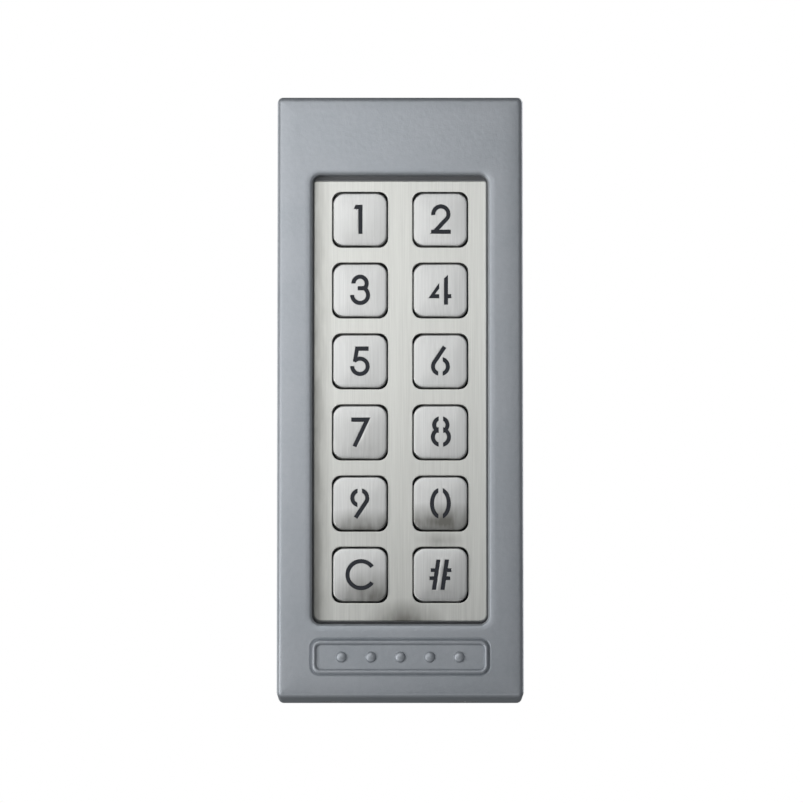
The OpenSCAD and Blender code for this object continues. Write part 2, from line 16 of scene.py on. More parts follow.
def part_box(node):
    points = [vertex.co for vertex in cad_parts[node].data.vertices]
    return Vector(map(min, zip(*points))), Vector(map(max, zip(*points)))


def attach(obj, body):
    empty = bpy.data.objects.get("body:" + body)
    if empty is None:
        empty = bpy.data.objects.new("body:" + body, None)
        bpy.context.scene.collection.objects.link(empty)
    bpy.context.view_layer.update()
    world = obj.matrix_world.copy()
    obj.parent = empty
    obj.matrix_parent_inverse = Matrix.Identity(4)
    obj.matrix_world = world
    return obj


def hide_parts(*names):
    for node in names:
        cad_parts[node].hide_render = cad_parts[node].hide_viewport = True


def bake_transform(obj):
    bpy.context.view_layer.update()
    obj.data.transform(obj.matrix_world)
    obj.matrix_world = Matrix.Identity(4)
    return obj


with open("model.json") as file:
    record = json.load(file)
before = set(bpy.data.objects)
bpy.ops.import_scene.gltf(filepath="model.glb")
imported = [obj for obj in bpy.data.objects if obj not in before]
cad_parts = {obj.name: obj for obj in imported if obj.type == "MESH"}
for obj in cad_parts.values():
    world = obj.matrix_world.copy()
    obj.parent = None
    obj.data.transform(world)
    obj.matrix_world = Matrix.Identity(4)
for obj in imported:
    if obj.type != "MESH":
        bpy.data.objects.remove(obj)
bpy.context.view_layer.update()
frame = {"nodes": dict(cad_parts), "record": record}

# Sizes are in millimetres, except where a piece has been carried to the row frame.
MM = 0.001
PANEL = Matrix(((MM, 0, 0, 0), (0, 0, -MM, 0), (0, MM, 0, 0), (0, 0, 0, 1)))
LEGENDS = ["1", "2", "3", "4", "5", "6", "7", "8", "9", "0", "clear", "hash"]
SUPPORT = 0.15          # width of the flat band that keeps a rounding's shading off a flat face
CORNER_STEPS = 8        # straight stretches that make up a rounded corner
SHARP = 35              # edges that turn by more degrees than this keep a crease
FOOT_CHAMFER = 0.1      # on the back edges of the keypad plate and the key caps

# Housing
CORNER_R = 1.2
EDGE = 1.1              # how far in from the silhouette the rounded front edge reaches
EDGE_POWER = 2.2        # 2 is a round edge, more is squarer
EDGE_STEPS = 10
ROLL = 4.0              # how far in the front face starts to fall towards that edge
ROLL_DROP = 0.18
ROLL_STEPS = 6
BACK_CHAMFER = 0.2
WINDOW_R = 1.8
WINDOW_FILLET = 0.65
WINDOW_ROLL = 1.8       # how far out the face starts to fall towards the window
WINDOW_ROLL_DROP = 0.2
WINDOW_GAP = Vector((0.3, 0.9))
WINDOW_RISE = 0.25      # the window's middle is a little higher than the plate's
SIDE_WALL = 3.6
LIP_WALL = 2.2
INNER_R = 1.0
BOSS_R = 3.0
BOSS_HOLE_R = 1.55
BOSS_HOLE_DEPTH = 7.0
BOARD_SCREW_HEAD_R = 2.7
TONGUE_X = 12.0
TONGUE_POCKET = Vector((8.6, 2.2, 1.2))

# Raised panel below the window
RELIEF_SIZE = Vector((37.4, 7.3))
RELIEF_Y = -55.2
RELIEF_H = 0.35
RELIEF_SUNK = 0.35      # how far the floor inside the rim lies below the face
RELIEF_R = 1.8
RELIEF_RIM = 1.1
RELIEF_MOAT = 0.45      # width of the slope that falls to the rim's foot from outside
STUDS = 5
STUD_R = 1.15
STUD_PITCH = 6.2

# Keypad plate and keys
PLATE_UPPER_R = 0.5
PLATE_LOWER_R = 1.5
PLATE_EDGE = 0.18
OPENING_EDGE = 0.12
BLIND_HOLE_R = 1.05
BLIND_HOLE_DEPTH = 1.6
KEY_R = 2.3
OPENING_R = 1.9
KEY_GAP = 0.25
KEY_RIM = 0.28          # radius of the rounding where a cap turns down into its wall
KEY_CROWN = 0.20        # how far the cap's top falls from its middle to its sides
KEY_LEAN = 0.03         # how far a cap's top leans, each key's another way
TOP_INSETS = (0.8, 1.2, 1.6)    # rings in a cap's top between its rim and its figure
CAP_WALL = 0.9
CAP_TOP = 1.2
LEGEND_FIT = 0.03       # gap between a lens and the cut in the cap
LEGEND_CHAMFER = 0.03   # width of the chamfer round a cut figure

# Mat, its domes, and the tamper spring
CONTACT_R = 3.9
DOME_BOSS_R = 2.85
DOME_TIP_R = 1.8        # of the boss, where it carries the pill
LED_WINDOW = Vector((2.4, 1.3))
LED_OFFSET = 5.4
SCREW_HOLE_R = 1.2
SPRING_WIRE_R = 0.175
SPRING_TURNS = 2.5


# ---- Places from the frame ----

def panel_box(node):
    """Lowest and highest corner of a CAD node, in panel millimetres."""
    low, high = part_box(node)
    return Vector((low.x, low.z, -high.y)) / MM, Vector((high.x, high.z, -low.y)) / MM


def middle(node):
    """Middle of a CAD node across the panel, in panel millimetres."""
    low, high = panel_box(node)
    return (low.xy + high.xy) / 2


def size_across(node):
    """Width and height of a CAD node."""
    low, high = panel_box(node)
    return high.xy - low.xy


def front_points(node):
    """A CAD node's vertices on its front level: x and y by the vertex's index."""
    near = 0.01
    places = [Vector((v.co.x, v.co.z, -v.co.y)) / MM for v in frame["nodes"][node].data.vertices]
    front = max(place.z for place in places)
    return {i: place.xy for i, place in enumerate(places) if place.z > front - near}


def plate_front():
    """Width and height of the keypad plate's raised front, inside its flange."""
    spots = front_points("keypad_plate").values()
    return Vector((max(p.x for p in spots) - min(p.x for p in spots),
                   max(p.y for p in spots) - min(p.y for p in spots)))


def legend_outlines(node):
    """Outlines of the figure on the front of a key's lens, each a list of points in order."""
    near = 0.004
    spots = []
    welded = {}
    for i, place in front_points(node).items():
        same = [k for k, spot in enumerate(spots) if (spot - place).length < near]
        if not same:
            spots.append(place)
        welded[i] = same[0] if same else len(spots) - 1
    border = set()
    for polygon in frame["nodes"][node].data.polygons:
        if all(i in welded for i in polygon.vertices):
            corners = [welded[i] for i in polygon.vertices]
            if len(set(corners)) == len(corners):
                # a side that two faces share is added once and taken away once
                border ^= {frozenset(side) for side in zip(corners, corners[1:] + corners[:1])}
    neighbours = {}
    for first, second in border:
        neighbours.setdefault(first, set()).add(second)
        neighbours.setdefault(second, set()).add(first)
    outlines = []
    while neighbours:
        point = min(neighbours)
        outline = []
        while point is not None:
            outline.append(spots[point])
            following = neighbours.pop(point)
            point = min((k for k in following if k in neighbours), default=None)
        outlines.append(without_extra_points(outline))
    return outlines


def without_extra_points(outline):
    """The outline without points that repeat or that lie on the line between their neighbours."""
    shortest = 0.08
    straightness = 0.003
    kept = []
    for point in outline:
        if not kept or (point - kept[-1]).length > shortest:
            kept.append(point)
    if (kept[0] - kept[-1]).length < shortest:
        kept.pop()
    corners = []
    for before, point, after in zip(kept[-1:] + kept[:-1], kept, kept[1:] + kept[:1]):
        run = (after - before).normalized()
        if abs(run.cross(point - before)) > straightness or run.dot(point - before) < 0:
            corners.append(point)
    return corners


def screw_spots(node, head_r):
    """Middles of the screws at the four corners of a node's box."""
    low, high = panel_box(node)
    return [(x, y) for x in (low.x + head_r, high.x - head_r)
            for y in (low.y + head_r, high.y - head_r)]


# ---- Outlines ----

def rounded_rect(width, height, radius, centre=(0, 0)):
    """Points of a rounded rectangle, anticlockwise, the same number for every size.

    The radius is a number, or a pair for the upper and the lower corners.
    """
    upper, lower = radius if isinstance(radius, tuple) else (radius, radius)
    least_r = 0.02
    points = []
    for quarter, (sx, sy) in enumerate(((1, 1), (-1, 1), (-1, -1), (1, -1))):
        corner_r = max(upper if sy > 0 else lower, least_r)
        hub = Vector((centre[0] + sx * (width / 2 - corner_r),
                      centre[1] + sy * (height / 2 - corner_r)))
        for step in range(CORNER_STEPS + 1):
            angle = math.radians(90 * (quarter + step / CORNER_STEPS))
            points.append(hub + corner_r * Vector((math.cos(angle), math.sin(angle))))
    return points


def plate_corners(out=0.0):
    """Corner radii of the keypad plate's front, or of an outline that lies outside it."""
    return (PLATE_UPPER_R + out, PLATE_LOWER_R + out)


def circle(radius, centre=(0, 0), steps=32):
    """Points of a circle, anticlockwise."""
    return [Vector(centre) + radius * Vector((math.cos(a), math.sin(a)))
            for a in (math.tau * i / steps for i in range(steps))]


def round_edge(size, power=2.0, steps=8):
    """(how far in, how far down) along a rounded edge, from its wall to its face."""
    points = []
    for step in range(steps + 1):
        angle = math.radians(90 * step / steps)
        points.append((size * (1 - math.cos(angle) ** (2 / power)),
                       size * (1 - math.sin(angle) ** (2 / power))))
    return points


def outset(loop, distance):
    """The outline moved outwards by a small distance."""
    least_stretch = 0.5     # keeps a sharp corner from running far out
    area = sum(a.cross(b) for a, b in zip(loop, loop[1:] + loop[:1]))
    side = math.copysign(1, area)
    moved = []
    for before, point, after in zip(loop[-1:] + loop[:-1], loop, loop[1:] + loop[:1]):
        first = (point - before).normalized()
        second = (after - point).normalized()
        normal = Vector((first.y + second.y, -first.x - second.x)).normalized()
        stretch = max(normal.dot(Vector((first.y, -first.x))), least_stretch)
        moved.append(point + normal * side * distance / stretch)
    return moved


def inside(point, loops):
    """True if the point is inside an odd number of the outlines."""
    crossings = 0
    for loop in loops:
        for a, b in zip(loop, loop[1:] + loop[:1]):
            if (a.y > point.y) != (b.y > point.y):
                crossings += point.x < a.x + (point.y - a.y) * (b.x - a.x) / (b.y - a.y)
    return crossings % 2 == 1


# ---- Closed meshes from stacked outlines ----

class Solid:
    """A closed mesh, drawn as rings of vertices joined by walls and closed by caps."""

    def __init__(self):
        self.mesh = bmesh.new()

    def ring(self, outline, height):
        """Vertices along an outline. The height is a number, or a function of x and y."""
        level = height if callable(height) else lambda x, y: height
        return [self.mesh.verts.new((p[0], p[1], level(p[0], p[1]))) for p in outline]

    def walls(self, levels):
        """Joins rings, given as (outline, height), by walls. Returns the first and last ring."""
        rings = [self.ring(outline, height) for outline, height in levels]
        for lower, upper in zip(rings, rings[1:]):
            self.join(lower, upper)
        return rings[0], rings[-1]

    def hoop(self, levels):
        """Rings joined by walls, and the last one joined to the first."""
        first, last = self.walls(levels)
        self.join(last, first)

    def join(self, lower, upper):
        """A wall between two rings with the same number of vertices."""
        for i in range(len(lower)):
            j = (i + 1) % len(lower)
            self.mesh.faces.new((lower[i], lower[j], upper[j], upper[i]))

    def cap(self, outer, holes=(), spots=()):
        """Fills the outer ring, except for the holes. Spots are loose vertices inside it."""
        rings = [outer, *holes]
        verts = [v for ring in rings for v in ring] + list(spots)
        edges = []
        start = 0
        for ring in rings:
            count = len(ring)
            edges += [(start + i, start + (i + 1) % count) for i in range(count)]
            start += count
        flat = [v.co.xy for v in verts]
        loops = [[v.co.xy for v in ring] for ring in rings]
        _, _, triangles, origins, _, _ = delaunay_2d_cdt(flat, edges, [], 0, 1e-7)
        for triangle in triangles:
            corners = [verts[origins[i][0]] for i in triangle]
            if inside(sum((v.co.xy for v in corners), Vector((0, 0))) / 3, loops):
                self.mesh.faces.new(corners)

    def lathe(self, profile, centre):
        """A closed shape turned about z at the centre, from (radius, height) points."""
        levels = [(circle(radius, centre), height) for radius, height in profile]
        first, last = self.walls(levels)
        self.cap(first)
        self.cap(last)

    def turned_ring(self, profile, centre):
        """A ring turned about z at the centre, from the (radius, height) points round its section."""
        self.hoop([(circle(radius, centre), height) for radius, height in profile])

    def piece(self, name, sharp=SHARP):
        """Ends the mesh and returns it as an object in the row frame."""
        bmesh.ops.remove_doubles(self.mesh, verts=self.mesh.verts, dist=1e-5)
        loose = [v for v in self.mesh.verts if not v.link_faces]
        bmesh.ops.delete(self.mesh, geom=loose, context="VERTS")
        bmesh.ops.recalc_face_normals(self.mesh, faces=self.mesh.faces)
        data = bpy.data.meshes.new(name)
        self.mesh.to_mesh(data)
        self.mesh.free()
        data.transform(PANEL)
        made = bpy.data.objects.new(name, data)
        bpy.context.scene.collection.objects.link(made)
        shade(made, sharp)
        return made


def shade(made, sharp=SHARP):
    """Smooth shading, with the edges over the angle kept sharp."""
    for polygon in made.data.polygons:
        polygon.use_smooth = True
    made.data.set_sharp_from_angle(angle=math.radians(sharp))


def cut(made, cutters):
    """Cuts the cutters out of a mesh and removes them."""
    for cutter in cutters:
        boolean = made.modifiers.new("cut", "BOOLEAN")
        boolean.operation = "DIFFERENCE"
        boolean.solver = "EXACT"
        boolean.object = cutter
    bpy.context.view_layer.update()
    depsgraph = bpy.context.evaluated_depsgraph_get()
    result = bpy.data.meshes.new_from_object(made.evaluated_get(depsgraph))
    made.modifiers.clear()
    made.data = result
    for cutter in cutters:
        bpy.data.objects.remove(cutter)
    shade(made)


def finish_as(made, slot, *nodes):
    """Gives a piece its finish and hides the CAD nodes it stands for."""
    made.data.materials.clear()
    made.data.materials.append(LOOKS[slot])
    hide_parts(*nodes)


def mount(made, body, slot, *nodes):
    """Puts a piece on its body in place of the CAD nodes, with its finish."""
    finish_as(made, slot, *nodes)
    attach(made, body)


# ---- Materials ----

class Look:
    """A Principled material whose nodes are built in a few calls."""

    def __init__(self, name, colour, roughness, **sockets):
        self.material = bpy.data.materials.new(name)
        self.material.use_nodes = True
        self.tree = self.material.node_tree
        self.shader = self.tree.nodes["Principled BSDF"]
        self.shader.inputs["Base Color"].default_value = (*colour, 1)
        self.shader.inputs["Roughness"].default_value = roughness
        for socket, value in sockets.items():
            title = socket.replace("_", " ").title().replace("Ior", "IOR")
            self.shader.inputs[title].default_value = value
        self.place = self.node("ShaderNodeTexCoord").outputs["Object"]

    def node(self, kind, links=None, **settings):
        """Adds a node. Settings are its properties, and links are its inputs' values or sources."""
        made = self.tree.nodes.new(kind)
        for key, value in settings.items():
            setattr(made, key, value)
        for key, value in (links or {}).items():
            if isinstance(value, bpy.types.NodeSocket):
                self.tree.links.new(value, made.inputs[key])
            else:
                made.inputs[key].default_value = value
        return made

    def feed(self, socket, source):
        """Links a source to one of the shader's sockets."""
        self.tree.links.new(source, self.shader.inputs[socket])

    def mapped(self, scale, shift):
        """The place on the object, scaled and then shifted."""
        links = {"Vector": self.place, "Scale": scale, "Location": shift}
        return self.node("ShaderNodeMapping", links).outputs["Vector"]

    def noise(self, size, detail, stretch=(1, 1, 1), shift=(0, 0, 0)):
        """Noise whose grains are about size millimetres wide, stretched along x, y and z."""
        scale = [1 / (size * MM * factor) for factor in stretch]
        links = {"Vector": self.mapped(scale, shift), "Scale": 1.0, "Detail": detail}
        return self.node("ShaderNodeTexNoise", links).outputs["Fac"]

    def spot(self, centre, reach):
        """1 at a place on the panel, falling to 0 at the reach. Both are x and y in millimetres."""
        scale = (1 / (reach[0] * MM), 0, 1 / (reach[1] * MM))
        shift = (-centre[0] / reach[0], 0, -centre[1] / reach[1])
        away = self.node("ShaderNodeVectorMath", {0: self.mapped(scale, shift)}, operation="LENGTH")
        return self.fit(away.outputs["Value"], 1.0, 0.0)

    def fit(self, source, low, high, to_low=0.0, to_high=1.0):
        """Maps a value from one range to another, clamped."""
        links = {"Value": source, "From Min": low, "From Max": high,
                 "To Min": to_low, "To Max": to_high}
        return self.node("ShaderNodeMapRange", links).outputs["Result"]

    def mix(self, factor, first, second):
        """Mixes two colours, each an (r, g, b) or a source."""
        mixer = self.node("ShaderNodeMix", data_type="RGBA")
        for index, value in ((0, factor), (6, first), (7, second)):
            if isinstance(value, bpy.types.NodeSocket):
                self.tree.links.new(value, mixer.inputs[index])
            else:
                mixer.inputs[index].default_value = (*value, 1) if index else value
        return mixer.outputs[2]

    def maths(self, operation, first, second):
        """One sum or product of two values or sources."""
        return self.node("ShaderNodeMath", {0: first, 1: second}, operation=operation).outputs[0]

    def sum(self, *parts):
        """Adds up (weight, source) pairs."""
        total = None
        for weight, source in parts:
            scaled = self.maths("MULTIPLY", source, weight)
            total = scaled if total is None else self.maths("ADD", total, scaled)
        return total

    def bump(self, height, depth, strength=1.0):
        """Relief from a height that runs from 0 to 1, depth millimetres deep."""
        links = {"Height": height, "Distance": depth * MM, "Strength": strength}
        self.feed("Normal", self.node("ShaderNodeBump", links).outputs["Normal"])


# the dark colour that painted shade on the keys, painted shadow on the plate and the plate's darker
# marks are mixed towards
SHADE_AND_MARK_COLOUR = (0.20, 0.197, 0.18)


def plate_shade_and_marks():
    """Where the plate is painted darker, each as (strength, centre, reach).

    Down its left edge, and more at its lower left, this is painted shadow from the window's wall.
    Over its lower part it is a faint painted shade that deepens towards the bottom. At its bottom and
    in a bar above the last key it is simply darker.
    """
    at = middle("keypad_plate")
    half = plate_front() / 2
    bottom = at.y - half.y
    # centred a little outside the plate's front, where the window's wall casts the painted shadow
    left = at.x - half.x - 0.4
    last_key = middle("key_cap_hash")
    return [(1.1, (1.0, bottom - 1), (9, 6)),
            (0.55, last_key + Vector((0, 7.3)), (5.5, 2.2)),
            # these two are the painted shadow of the window's left wall, down the plate's left edge
            (0.72, (left, at.y), (4.6, 110)),
            (0.20, (left, bottom), (4.6, 60)),
            # a faint painted shade, deepening towards the plate's bottom
            (0.12, (at.x, bottom), (45, 50))]


def key_lower_shade():
    """Painted shade on the lower sides of the keys, where their tops turn away from the light, each
    as (strength, centre, reach).
    """
    # painted shade low on each of these keys
    marks = {"0": (1.2, (0.5, -4.0), (15, 4.4)),
             "9": (0.95, (0.5, -5.5), (14, 4.6)),
             "clear": (0.95, (2.5, -4.5), (10, 6.0)),
             "7": (0.22, (0, -3.0), (14, 9.0)),
             "hash": (0.15, (0, -4.0), (14, 9.0)),
             "1": (0.22, (0, -5.0), (12, 6.5))}
    return [(strength, middle("key_cap_" + name) + Vector(offset), reach)
            for name, (strength, offset, reach) in marks.items()]


def powder_coat():
    """Satin silver-grey coat with a metallic fleck, a fine texture and a soft orange peel."""
    dark_tint = (0.352, 0.378, 0.408)
    light_tint = (0.377, 0.400, 0.430)
    fleck_colour = (0.50, 0.523, 0.552)
    look = Look("powder_coat", (0.46, 0.48, 0.50), 0.42, metallic=0.5)
    grain = look.noise(0.22, detail=3)
    peel = look.noise(1.1, detail=3)
    cloud = look.noise(9, detail=3)
    tint = look.mix(look.fit(cloud, 0.35, 0.65), dark_tint, light_tint)
    fleck = look.fit(look.sum((0.6, grain), (0.4, peel)), 0.35, 0.65, 0.0, 0.30)
    look.feed("Base Color", look.mix(fleck, tint, fleck_colour))
    look.feed("Roughness", look.fit(grain, 0.3, 0.7, 0.38, 0.48))
    look.bump(look.sum((0.3, grain), (0.7, peel)), 0.06)
    return look.material


def brushed_steel(name, colour, roughness, shift, shade_and_marks):
    """Steel brushed up and down, with streaks of several widths, and darkened at given places by
    painted shade and darker marks.

    Each place is its (strength, centre, reach).
    """
    darker = [channel * 0.86 for channel in colour]
    look = Look(name, colour, roughness, metallic=1.0, anisotropic=0.95)
    fine = look.noise(0.2, detail=2, stretch=(1, 1, 70), shift=shift)
    middle_streaks = look.noise(0.7, detail=2, stretch=(1, 1, 30), shift=shift)
    broad = look.noise(3.0, detail=2, stretch=(1, 1, 10), shift=shift)
    streaks = look.sum((0.5, fine), (0.3, middle_streaks), (0.2, broad))
    brushed = look.mix(look.fit(streaks, 0.38, 0.62), darker, colour)
    blotch = look.fit(look.noise(1.6, detail=3, stretch=(1, 1, 4), shift=shift), 0.3, 0.6, 0.6, 1.0)
    # where the painted shade and darker marks go, each a spot that fades out
    painted_shade_and_marks = look.sum(*((strength, look.spot(centre, reach))
                         for strength, centre, reach in shade_and_marks))
    blotched_shade_and_marks = look.maths("MULTIPLY", painted_shade_and_marks, blotch)
    # the brushed colour mixed towards the dark colour there: painted shade and darker marks
    look.feed("Base Color", look.mix(look.fit(blotched_shade_and_marks, 0, 1), brushed, SHADE_AND_MARK_COLOUR))
    look.feed("Roughness", look.fit(streaks, 0.35, 0.65, roughness - 0.02, roughness + 0.03))
    look.bump(look.sum((0.7, fine), (0.3, middle_streaks)), 0.0004, 0.5)
    return look.material


def moulded(name, colour, roughness, depth=0.01, **sockets):
    """Plain moulded plastic or rubber: a fine grain and slightly uneven gloss."""
    lighter = [min(1, channel * 1.25 + 0.005) for channel in colour]
    look = Look(name, colour, roughness, **sockets)
    fine = look.noise(0.12, detail=3)
    cloud = look.noise(4.0, detail=2)
    look.feed("Base Color", look.mix(look.fit(cloud, 0.3, 0.7, 0, 0.5), colour, lighter))
    look.feed("Roughness", look.fit(cloud, 0.3, 0.7, roughness - 0.05, roughness + 0.07))
    look.bump(fine, depth)
    return look.material


def metal(name, colour, roughness, grain=0.3):
    """Bare or plated metal with uneven gloss and a faint grain of the given size."""
    darker = [channel * 0.8 for channel in colour]
    look = Look(name, colour, roughness, metallic=1.0)
    fine = look.noise(grain, detail=4)
    cloud = look.noise(6.0, detail=3)
    look.feed("Base Color", look.mix(look.fit(cloud, 0.35, 0.65), darker, colour))
    look.feed("Roughness", look.fit(fine, 0.3, 0.7, roughness - 0.06, roughness + 0.10))
    look.bump(fine, 0.004)
    return look.material


def laminate():
    """Green solder resist with paler tracks under it."""
    dark_resist = (0.010, 0.105, 0.048)
    light_resist = (0.016, 0.145, 0.068)
    track_colour = (0.05, 0.27, 0.13)
    look = Look("board_laminate", (0.012, 0.13, 0.06), 0.30)
    upright = look.node("ShaderNodeMapping", {
        "Vector": look.place, "Rotation": (math.pi / 2, 0, 0)})
    tracks = look.node("ShaderNodeTexBrick", {
        "Vector": upright.outputs["Vector"], "Scale": 1.0, "Mortar Size": 0.15 * MM,
        "Brick Width": 5.0 * MM, "Row Height": 1.27 * MM, "Mortar Smooth": 0.2})
    worn = look.noise(0.8, detail=3)
    resist = look.mix(look.fit(worn, 0.35, 0.65), dark_resist, light_resist)
    look.feed("Base Color", look.mix(tracks.outputs["Fac"], resist, track_colour))
    look.feed("Roughness", look.fit(worn, 0.3, 0.7, 0.26, 0.38))
    look.bump(tracks.outputs["Fac"], 0.02)
    return look.material


# The finish of each material slot, most of them from a colour and a roughness
LOOKS = {
    "powder_coat": powder_coat(),
    "zinc_plate": metal("zinc_plate", (0.52, 0.54, 0.57), 0.58, 0.5),
    # the plate carries painted shadow and darker marks, the keys painted shade on their lower sides
    "brushed_plate": brushed_steel(
        "brushed_plate", (0.72, 0.725, 0.69), 0.38, (0, 0, 0), plate_shade_and_marks()),
    "brushed_key": brushed_steel(
        "brushed_key", (0.68, 0.685, 0.675), 0.37, (31.7, 0, 8.3), key_lower_shade()),
    "lens_plastic": moulded(
        "lens_plastic", (0.022, 0.025, 0.032), 0.50, depth=0.002, specular_ior_level=0.25),
    "black_rubber": moulded("black_rubber", (0.17, 0.173, 0.178), 0.62),
    "silicone": moulded("silicone", (0.62, 0.66, 0.67), 0.42),
    "guide_plastic": moulded("guide_plastic", (0.045, 0.048, 0.055), 0.45),
    "board_laminate": laminate(),
    "contact_gold": metal("contact_gold", (0.83, 0.60, 0.22), 0.25),
    "led_white": moulded("led_white", (0.80, 0.78, 0.62), 0.25),
    "component_black": moulded("component_black", (0.02, 0.02, 0.022), 0.45),
    "relay_case": moulded("relay_case", (0.02, 0.022, 0.026), 0.35),
    "terminal_green": moulded("terminal_green", (0.02, 0.16, 0.07), 0.38),
    "screw_steel": metal("screw_steel", (0.62, 0.62, 0.62), 0.28, 0.15),
    "capacitor_can": metal("capacitor_can", (0.66, 0.67, 0.69), 0.30),
    "plunger_plastic": moulded("plunger_plastic", (0.55, 0.06, 0.03), 0.36),
    "spring_steel": metal("spring_steel", (0.60, 0.60, 0.62), 0.25),
    "carbon_rubber": moulded("carbon_rubber", (0.014, 0.014, 0.014), 0.70),
}


# ---- Housing ----

def housing_shell():
    """The cast housing: a tray open at the back, with a rounded front and a filleted window."""
    low, high = panel_box("front_housing")
    size = high.xy - low.xy
    face_z = high.z - RELIEF_H
    wall_z = panel_box("plate_gasket")[1].z
    board_z = panel_box("circuit_board")[1].z
    rebate_z = panel_box("housing_seal")[1].z
    least_corner_r = 0.35
    solid = Solid()

    def outer(inset):
        corner_r = max(CORNER_R - inset, least_corner_r)
        return rounded_rect(*(size - 2 * Vector((inset, inset))), corner_r)

    def inner(wall):
        return rounded_rect(*(size - 2 * Vector((wall, wall))), INNER_R)

    def roll(inset):
        return face_z - ROLL_DROP * max(0, 1 - inset / ROLL) ** 2

    front_edge = [(outer(away), roll(away) - drop)
                  for away, drop in round_edge(EDGE, EDGE_POWER, EDGE_STEPS)]
    insets = [EDGE + (ROLL - EDGE) * step / ROLL_STEPS for step in range(1, ROLL_STEPS + 1)]
    front_roll = [(outer(inset), roll(inset)) for inset in insets]
    back_edge = [(outer(BACK_CHAMFER), low.z), (outer(0), low.z + BACK_CHAMFER)]
    back_ring, face_ring = solid.walls(back_edge + front_edge + front_roll)

    def window_level(out, drop=0.0):
        return face_z - drop - WINDOW_ROLL_DROP * (1 - out / WINDOW_ROLL) ** 2

    rolled = [WINDOW_ROLL + (WINDOW_FILLET - WINDOW_ROLL) * step / ROLL_STEPS
              for step in range(ROLL_STEPS)]
    filleted = reversed(round_edge(WINDOW_FILLET))
    window_ring, behind_window = solid.walls(
        [(window(out), window_level(out)) for out in rolled]
        + [(window(out), window_level(out, drop)) for out, drop in filleted]
        + [(window(0), wall_z)])
    solid.cap(face_ring, [window_ring, add_relief(solid, face_z)])

    ceiling_ring, lip_ring = solid.walls([
        (inner(SIDE_WALL), wall_z), (inner(SIDE_WALL), rebate_z),
        (inner(LIP_WALL), rebate_z), (inner(LIP_WALL), low.z)])
    solid.cap(back_ring, [lip_ring])

    bosses = []
    for spot in screw_spots("board_screws", BOARD_SCREW_HEAD_R):
        top, rim = solid.walls([(circle(BOSS_R, spot), wall_z), (circle(BOSS_R, spot), board_z)])
        mouth, floor = solid.walls([(circle(BOSS_HOLE_R, spot), board_z),
                                    (circle(BOSS_HOLE_R, spot), board_z + BOSS_HOLE_DEPTH)])
        solid.cap(rim, [mouth])
        solid.cap(floor)
        bosses.append(top)
    solid.cap(ceiling_ring, [behind_window, *bosses])

    shell = solid.piece("housing_shell")
    cut(shell, housing_cutters(low, high))
    mount(shell, "housing", "powder_coat", "front_housing")


def window(out):
    """Outline of the window in the housing, or one that lies outside it by some distance."""
    size = plate_front() + 2 * WINDOW_GAP + 2 * Vector((out, out))
    return rounded_rect(*size, WINDOW_R + out, middle("keypad_plate") + Vector((0, WINDOW_RISE)))


def add_relief(solid, face_z):
    """A rounded rim with a row of domed studs in it. Returns its outer ring."""
    rim_steps = 12
    corner_shrink = 0.8     # how fast the rim's corner radius falls towards its inside
    rim_power = 0.5         # 1 is a sine swell, less is fuller
    stud_power = 0.8        # 1 is a round dome, less is fuller
    floor_z = face_z - RELIEF_SUNK

    def rim(across):
        size = RELIEF_SIZE - 2 * Vector((across, across))
        return rounded_rect(*size, RELIEF_R - across * corner_shrink, (0, RELIEF_Y))

    levels = [(rim(-RELIEF_MOAT - SUPPORT), face_z), (rim(-RELIEF_MOAT), face_z)]
    for step in range(rim_steps + 1):
        share = step / rim_steps
        swell = math.sin(math.pi * share) ** rim_power
        levels.append((rim(RELIEF_RIM * share), floor_z + (RELIEF_H + RELIEF_SUNK) * swell))
    levels.append((rim(RELIEF_RIM + SUPPORT), floor_z))
    outer_ring, inner_ring = solid.walls(levels)
    studs = []
    for i in range(STUDS):
        at = ((i - (STUDS - 1) / 2) * STUD_PITCH, RELIEF_Y)
        dome = [(circle(STUD_R + SUPPORT, at), floor_z)]
        for angle in map(math.radians, range(0, 85, 12)):
            rise = math.sin(angle) ** stud_power
            dome.append((circle(STUD_R * math.cos(angle), at),
                         floor_z + (RELIEF_H + RELIEF_SUNK) * rise))
        root, crest = solid.walls(dome)
        solid.cap(crest)
        studs.append(root)
    solid.cap(inner_ring, studs)
    return outer_ring


def housing_cutters(low, high):
    """The pockets for the back plate's tongues and the countersunk holes from below."""
    pocket_r = 0.1
    pocket_depth = 1.2      # into the wall beside the lip
    behind_seal = 0.45      # from the seal to the middle of a pocket
    head_gap = 0.15
    sink_depth = 1.5
    shank_hole_r = 1.6
    overlap = 0.1           # how far a hole's cutter starts below the underside
    past_wall = 1.0
    cutters = []
    pocket_y = high.y - LIP_WALL + pocket_depth - TONGUE_POCKET.y / 2
    pocket_z = panel_box("housing_seal")[0].z - behind_seal
    for x in (-TONGUE_X, TONGUE_X):
        pocket = Solid()
        outline = rounded_rect(TONGUE_POCKET.x, TONGUE_POCKET.y, pocket_r, (x, pocket_y))
        first, last = pocket.walls([(outline, pocket_z - TONGUE_POCKET.z / 2),
                                    (outline, pocket_z + TONGUE_POCKET.z / 2)])
        pocket.cap(first)
        pocket.cap(last)
        cutters.append(pocket.piece("tongue_pocket"))
    screw_low, screw_high = panel_box("housing_screws")
    head_r = (screw_high.z - screw_low.z) / 2
    screw_z = (screw_high.z + screw_low.z) / 2
    for x in (screw_low.x + head_r, screw_high.x - head_r):
        hole = Solid()
        hole.lathe([(head_r + head_gap, -overlap), (shank_hole_r, sink_depth),
                    (shank_hole_r, SIDE_WALL + past_wall)], (0, 0))
        made = hole.piece("screw_hole")
        # turned about panel z by the lathe, and tipped here to run up from the underside
        made.data.transform(Matrix.Rotation(math.pi / 2, 4, "X"))
        made.data.transform(Matrix.Translation((x * MM, -screw_z * MM, low.y * MM)))
        cutters.append(made)
    return cutters


# ---- Keypad plate and gasket ----

